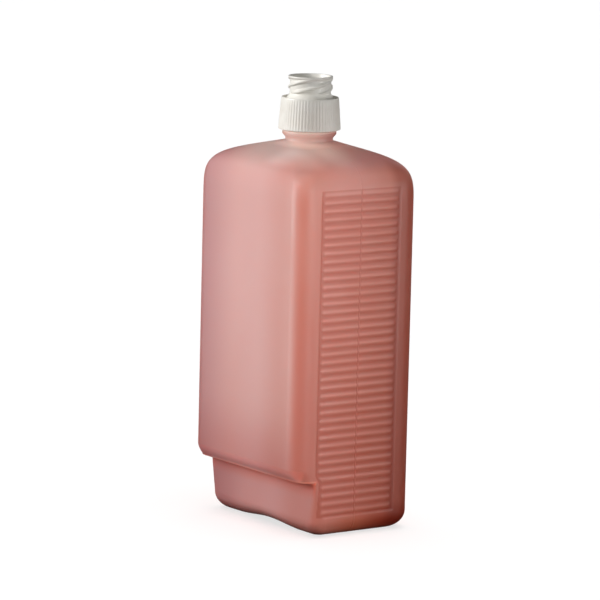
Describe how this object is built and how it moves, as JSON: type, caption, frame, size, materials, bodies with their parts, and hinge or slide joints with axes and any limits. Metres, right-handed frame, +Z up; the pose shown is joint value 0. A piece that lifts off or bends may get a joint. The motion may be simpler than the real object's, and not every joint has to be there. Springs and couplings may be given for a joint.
{
  "type": "hand soap refill pack",
  "caption": "Plastic refill bottle of pink liquid hand soap, with ribbed grip panels, a stepped foot and a white screw closure whose open threaded spout docks into a dispenser.",
  "frame": {"origin": "middle of the footprint, on the surface that the bottle stands on", "axes": "+Z up along the neck, +X across the front of the bottle to the right, and the front face looks towards -Y"},
  "size_m": [0.09, 0.071, 0.22],
  "materials": {
    "pink_plastic": "satin translucent",
    "soap": "clear liquid",
    "white_plastic": "satin",
    "foam": "foamed",
    "foil": "satin"
  },
  "bodies": {
    "bottle": {"bottle": "pink_plastic", "soap": "soap", "foil_seal": "foil"},
    "washer": {"sealing_washer": "foam"},
    "closure": {"closure": "white_plastic"}
  },
  "joints": [
    {"name": "closure_lift", "type": "slide", "parent": "bottle", "child": "washer", "axis": [0, 0, 1], "range_m": [0, 0.0061]},
    {"name": "closure_turn", "type": "hinge", "parent": "washer", "child": "closure", "pos_m": [0, 0, 0.2], "axis": [0, 0, 1], "range_deg": [0, 540]}
  ],
  "couplings": [
    {"joint": "closure_lift", "follows": "closure_turn", "m_per_rad": 0.00063662}
  ]
}
